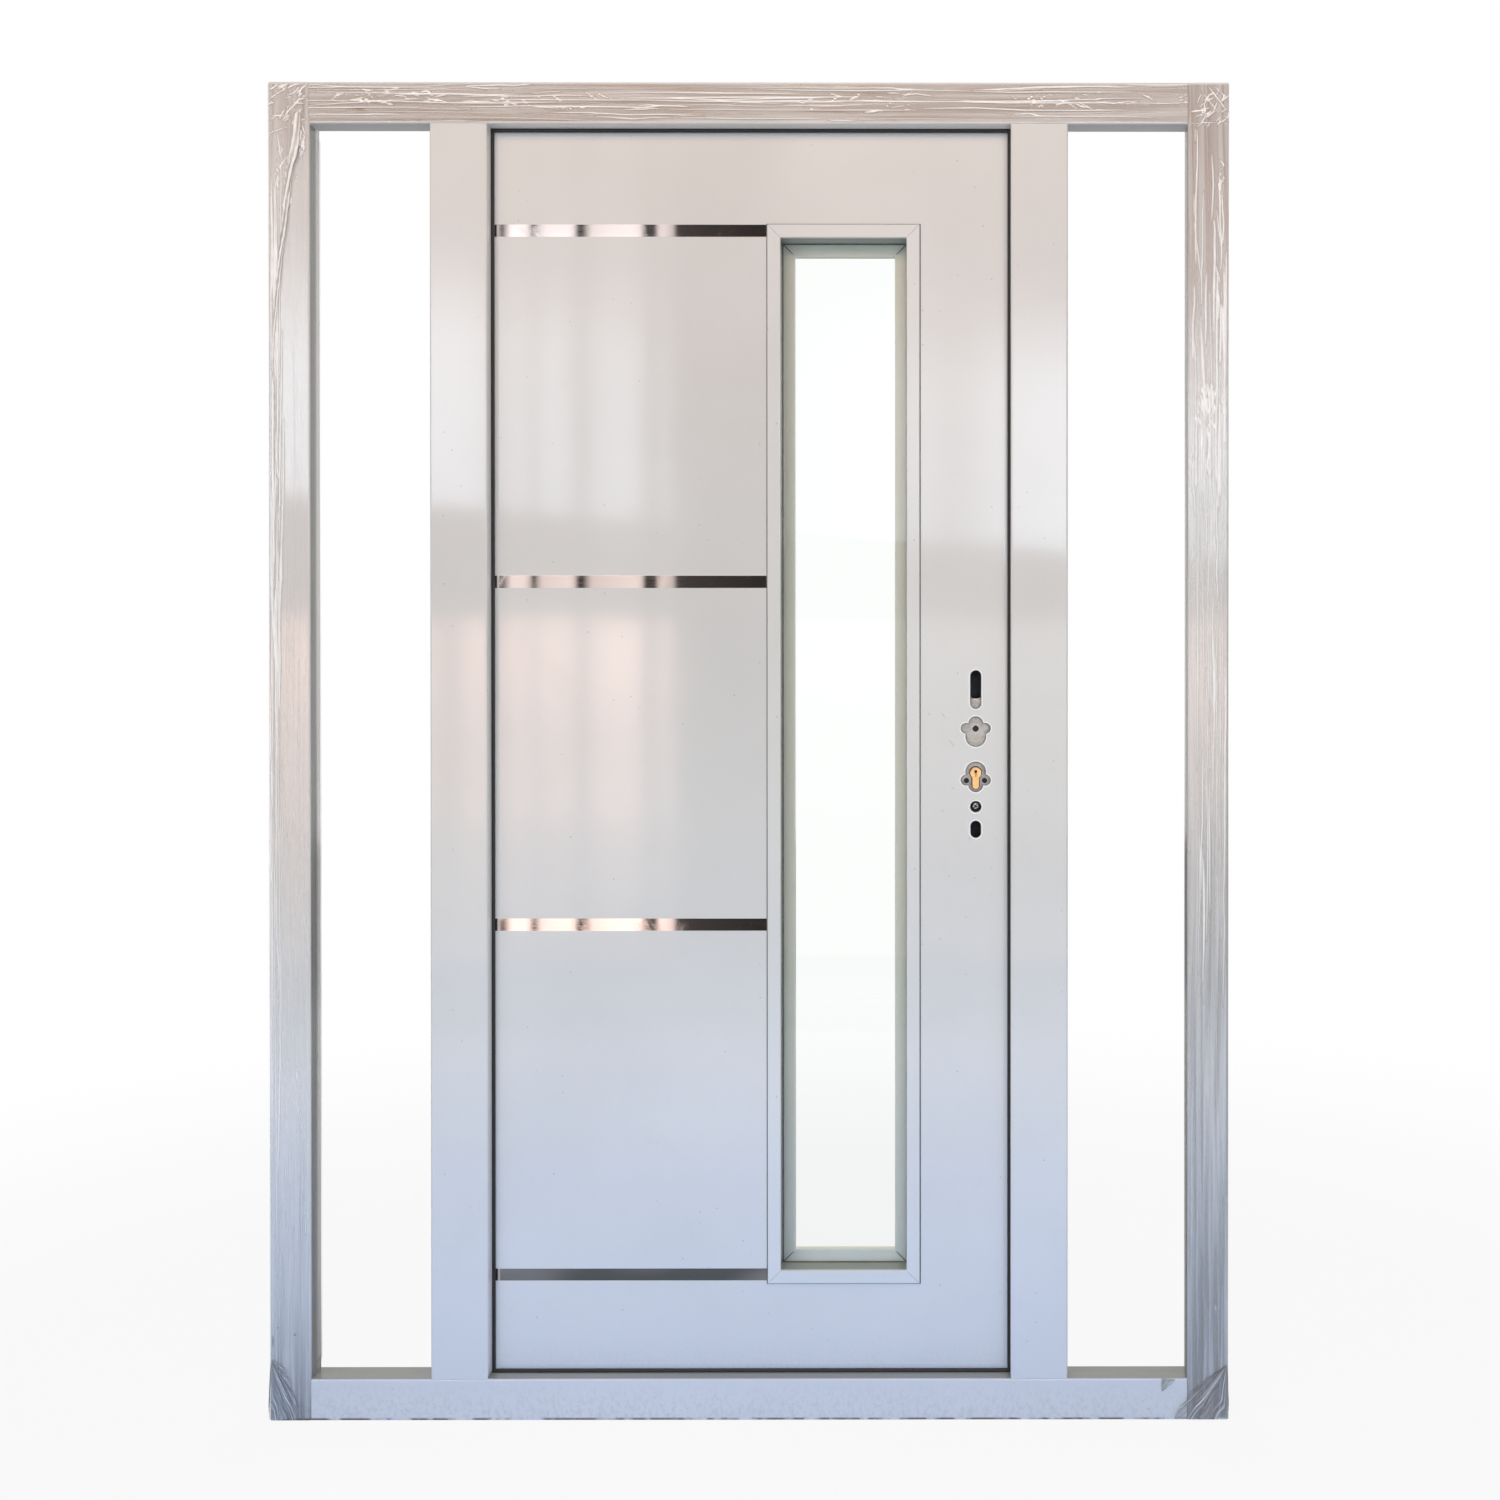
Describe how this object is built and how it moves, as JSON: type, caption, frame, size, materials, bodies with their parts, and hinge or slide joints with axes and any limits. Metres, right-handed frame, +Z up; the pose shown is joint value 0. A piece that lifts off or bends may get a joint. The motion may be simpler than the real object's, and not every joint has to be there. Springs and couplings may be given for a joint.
{
  "type": "steel security door",
  "caption": "White steel entrance door with a tall glazed slot and polished inlays, in a folded frame with an open side light either side.",
  "frame": {"origin": "middle of the sill's underside, halfway through the frame's depth", "axes": "+Z up, +X to the right seen from outside, +Y into the building"},
  "size_m": [1.47, 0.0985, 2.05],
  "materials": {
    "enamel": "gloss white stoved enamel with a slight orange peel",
    "inlay": "mirror polished stainless steel",
    "seal": "matt black sponge rubber",
    "glass": "clear float glass",
    "brass": "machined brass",
    "lock_steel": "zinc plated steel",
    "film": "clear stretch wrap, wrinkled"
  },
  "bodies": {
    "frame": {"left_jamb": "enamel", "right_jamb": "enamel", "head": "enamel", "head_back": "enamel", "sill": "enamel", "sill_back": "enamel", "left_mullion": "enamel", "left_mullion_back": "enamel", "right_mullion": "enamel", "right_mullion_back": "enamel", "door_seal": "seal", "strike_plate": "lock_steel", "frame_hinge_bottom": "enamel", "frame_hinge_middle": "enamel", "frame_hinge_top": "enamel", "film_left": "film", "film_right": "film", "film_head": "film"},
    "leaf": {"bottom_inlay": "inlay", "cylinder_body": "brass", "dead_bolt": "lock_steel", "hinge_stile": "enamel", "latch_bolt": "lock_steel", "leaf_bottom_rail": "enamel", "leaf_hinge_bottom": "enamel", "leaf_hinge_middle": "enamel", "leaf_hinge_top": "enamel", "leaf_inner_skin": "enamel", "leaf_outer_skin": "enamel", "leaf_top_rail": "enamel", "lock_case": "lock_steel", "lock_faceplate": "lock_steel", "lock_stile": "enamel", "lower_inlay": "inlay", "top_inlay": "inlay", "upper_inlay": "inlay", "visor_back_bottom": "enamel", "visor_back_left": "enamel", "visor_back_right": "enamel", "visor_back_top": "enamel", "visor_glass": "glass", "visor_trim_bottom": "enamel", "visor_trim_left": "enamel", "visor_trim_right": "enamel", "visor_trim_top": "enamel"},
    "plug": {"cylinder_plug": "brass"},
    "follower": {"follower_hub": "lock_steel"}
  },
  "joints": [
    {"name": "leaf_swing", "type": "hinge", "parent": "frame", "child": "leaf", "pos_m": [-0.4135, 0.0495, 1.025], "axis": [0, 0, 1], "range_deg": [0, 110]},
    {"name": "plug_turn", "type": "hinge", "parent": "leaf", "child": "plug", "pos_m": [0.348, 0.014, 0.9915], "axis": [0, 1, 0], "continuous": true},
    {"name": "follower_turn", "type": "hinge", "parent": "leaf", "child": "follower", "pos_m": [0.348, 0.014, 1.06], "axis": [0, -1, 0], "range_deg": [0, 45], "stiffness_Nm_per_rad": 0.8}
  ]
}
